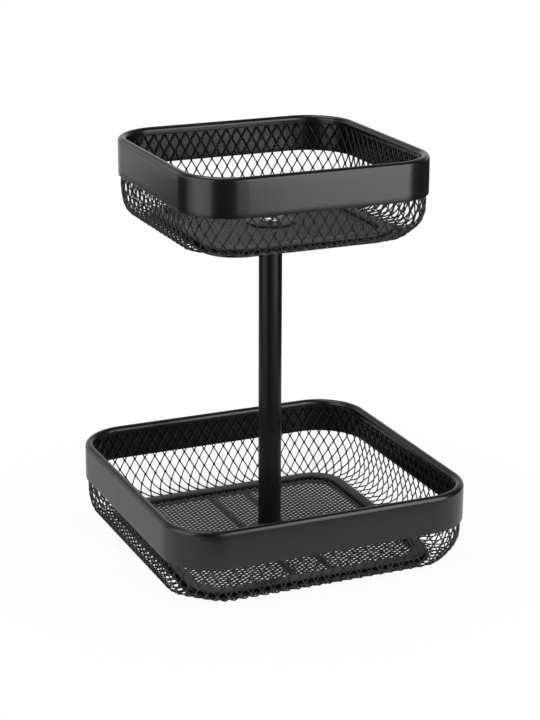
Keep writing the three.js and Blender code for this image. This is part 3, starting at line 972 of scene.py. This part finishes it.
# %% Make the bolt
SOCKET_FLATS = 5
SOCKET_DEPTH = 1.4
SOCKET_LEAD_IN = (0.3, 0.25)
BOLT_HEAD_TOP = 2.5
BOLT_HEAD_EASE = 0.2
BOLT_HEAD_SLOPE = ((1.2, 0), (0.4, 0.25), (0, 0.9))
BOLT_THREAD = 4
BOLT_TIP = 0.8

bolt_low, bolt_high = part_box("base_bolt")
head_low = bolt_low.z / MM
head_radius = bolt_high.x / MM
shank_top = bolt_high.z / MM
socket_corner = SOCKET_FLATS / 2 / cos(pi / 6)
socket = [
    (0, head_low + SOCKET_DEPTH),
    (socket_corner, head_low + SOCKET_DEPTH),
    (socket_corner, head_low + SOCKET_LEAD_IN[1]),
    (socket_corner + SOCKET_LEAD_IN[0], head_low),
]
head = [(head_radius - inward, head_low + up) for inward, up in BOLT_HEAD_SLOPE] + [
    (head_radius, BOLT_HEAD_TOP - BOLT_HEAD_EASE),
    (head_radius - BOLT_HEAD_EASE, BOLT_HEAD_TOP),
]
shank = [
    (BOLT_THREAD, BOLT_HEAD_TOP),
    (BOLT_THREAD, shank_top - BOLT_TIP),
    (BOLT_THREAD - BOLT_TIP, shank_top),
    (0, shank_top),
]
bolt = spun(socket + head + shank, False, [0, SOCKET_FLATS, SOCKET_FLATS])
rack_piece("post_bolt", bolt, dull_zinc, "stand", ["base_bolt"], MACHINED_EDGE)

# %% [markdown]
# ## Parts that stay hidden
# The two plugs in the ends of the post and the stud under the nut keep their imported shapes,
# because nothing of them shows. They still get the zinc finish, for a view into the opened rack.

# %% Finish the hidden parts
for name in ("post_bottom_plug", "post_top_plug", "top_stud"):
    hidden_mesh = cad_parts[name].data
    hidden_mesh.materials.clear()
    hidden_mesh.materials.append(dull_zinc)
print("zinc on the plugs and the stud")

# %% [markdown]
# ## The table
# Black gloss shows the room more than its own colour. On the photograph the bands mirror a white
# table: brightly on the left faces, where the glance is shallow, and faintly in front. The near
# corner of the upper band mirrors past the table's edge into a dark room. So the table here is
# a white sheet that ends close in front and at the sides and widens far behind. To the camera it
# glows nearly white, which is painted light. That glow is painted weaker near the rack, most of
# all under the floor mesh and towards the back: a painted shade that lets the rack's real shadow show.

# %% Lay the table
TABLE_OUTLINE = [(440, -265), (440, 1260), (900, 1370), (1100, 1700), (1100, 3000)]
TABLE_COLOUR = grey(0.9)
PAINTED_SHADE_CENTRE = (-0.015, 0.034, 0)
PAINTED_SHADE_EDGE = (0.07, 0.12)
SHADOW_EDGE = (0.15, 0.34)
FAR_EDGE = (1.2, 1.4)
UNDER_WHITENESS = 0.55
NEAR_WHITENESS = 0.95
FAR_WHITENESS = 0.75


def ray_kind(shade, kind):
    return shade.node("ShaderNodeLightPath", out=kind)


def length_of(place, operation, other=(0, 0, 0)):
    return place.node("ShaderNodeVectorMath", {"operation": operation}, {0: place, 1: other}, "Value")


table_mesh = bpy.data.meshes.new("table")
right_edge = [(x * MM, y * MM, 0) for x, y in TABLE_OUTLINE]
left_edge = [(-x, y, z) for x, y, z in reversed(right_edge)]
table_mesh.from_pydata(right_edge + left_edge, [], [list(range(2 * len(TABLE_OUTLINE)))])
table = bpy.data.objects.new("table", table_mesh)
scene.collection.objects.link(table)
table_finish, shade = start_finish("white_table")
place = shade.node("ShaderNodeTexCoord", out="Object")
from_post = length_of(place, "LENGTH")
from_painted_shade = length_of(place, "DISTANCE", PAINTED_SHADE_CENTRE)
# Painted shade: the camera's white glow is full beyond SHADOW_EDGE from the post, and drops to
# UNDER_WHITENESS around a point behind the post.
outside = smooth_step(from_painted_shade, PAINTED_SHADE_EDGE, UNDER_WHITENESS, NEAR_WHITENESS)
apart = smooth_step(from_post, SHADOW_EDGE)
seen = ray_kind(shade, "Is Camera Ray") * (outside + (1 - outside) * apart)
mirrored = ray_kind(shade, "Is Glossy Ray") * smooth_step(from_post, FAR_EDGE, 0.0, FAR_WHITENESS)
matt = shade.node("ShaderNodeBsdfDiffuse", inputs={"Color": TABLE_COLOUR})
white = shade.node("ShaderNodeEmission", inputs={"Color": grey(1), "Strength": 1.0})
both = shade.node("ShaderNodeMixShader", inputs={0: seen + mirrored, 1: matt, 2: white})
shade.node("ShaderNodeOutputMaterial", inputs={"Surface": both})
table_mesh.materials.append(table_finish)
print("table from y", TABLE_OUTLINE[0][1], "to", TABLE_OUTLINE[-1][1], "mm")

# %% [markdown]
# ## The room
# The room is plain white to the camera. A mirror sees it bright only behind the rack and above
# the table, less so high up, and nearly dark everywhere else, so that the black bands keep their
# dark stripes. Every other ray gets a low, even fill. An image of a studio would do this too, but
# three smooth steps over the direction of the ray are easier to tune.

# %% Fill the room
ROOM_FILL = 0.20
ROOM_DARK = 0.04
ROOM_HORIZON = 0.9
ROOM_HIGH = 0.4
BEHIND_EDGE = (0.1, 0.8)
HIGH_EDGE = (0.2, 0.42)
TABLE_LEVEL_EDGE = (-0.12, 0.0)

room = bpy.data.worlds.new("room")
room.use_nodes = True
room.node_tree.nodes.clear()
scene.world = room
scene.view_settings.view_transform = "Standard"
shade = Shade(room.node_tree)
direction = shade.node("ShaderNodeTexCoord", out="Generated")
backward = shade.node("ShaderNodeSeparateXYZ", inputs={0: direction}, out="Y")
upward = shade.node("ShaderNodeSeparateXYZ", inputs={0: direction}, out="Z")
behind = smooth_step(backward, BEHIND_EDGE)
above_table = smooth_step(upward, TABLE_LEVEL_EDGE)
bright_part = ROOM_HORIZON + (ROOM_HIGH - ROOM_HORIZON) * smooth_step(upward, HIGH_EDGE)
in_mirrors = ROOM_DARK + behind * above_table * (bright_part - ROOM_DARK)
glossy_ray = ray_kind(shade, "Is Glossy Ray")
clear_ray = ray_kind(shade, "Is Transmission Ray")
reflecting = shade.math("MAXIMUM", glossy_ray, clear_ray)
unseen = ROOM_FILL + reflecting * (in_mirrors - ROOM_FILL)
level = unseen + ray_kind(shade, "Is Camera Ray") * (1 - unseen)
backdrop = shade.node("ShaderNodeBackground", inputs={"Color": grey(1), "Strength": level})
shade.node("ShaderNodeOutputWorld", inputs={"Surface": backdrop})
print("room fill", ROOM_FILL)

# %% [markdown]
# ## Six softboxes
# A softbox is an area lamp. Its brightness is written as seen in a mirror, and its power follows
# from its size. One hangs overhead and draws the line along the hems. One stands front right and
# is what the upper front band mirrors, with a weaker one beside it that softens its edge. One
# stands on the left and is the bright stripe around the near corner, again with a weaker one
# beside it. The gap between the front and the left is the dark stripe on that corner. A faint one
# lies low, in front of the table's edge, where the lower front band looks.

# %% Set up the softboxes
def softbox(name, azimuth, elevation, distance, width, height, brightness):
    lamp = bpy.data.lights.new(name, "AREA")
    lamp.shape = "RECTANGLE"
    lamp.size = width * MM
    lamp.size_y = height * MM
    lamp.energy = brightness * pi * lamp.size * lamp.size_y
    out = heading(radians(azimuth), radians(elevation))
    holder = bpy.data.objects.new(name, lamp)
    scene.collection.objects.link(holder)
    holder.matrix_world = Matrix.Translation((VIEW_CENTRE + distance * out) * MM) @ facing_back(out)
    holder.visible_camera = False
    print(name, "gives", round(lamp.energy, 1), "W")


softbox("overhead", -150, 74, distance=1500, width=750, height=750, brightness=3.6)
softbox("front_right", 34, 19, distance=1100, width=770, height=1240, brightness=3.5)
softbox("front", 2, 19, distance=1100, width=420, height=1200, brightness=1.4)
softbox("left", -78, 16, distance=1100, width=860, height=1250, brightness=2.0)
softbox("left_rear", -105, 16, distance=1100, width=260, height=1250, brightness=0.9)
softbox("low_front", 20, -27, distance=640, width=620, height=320, brightness=0.35)
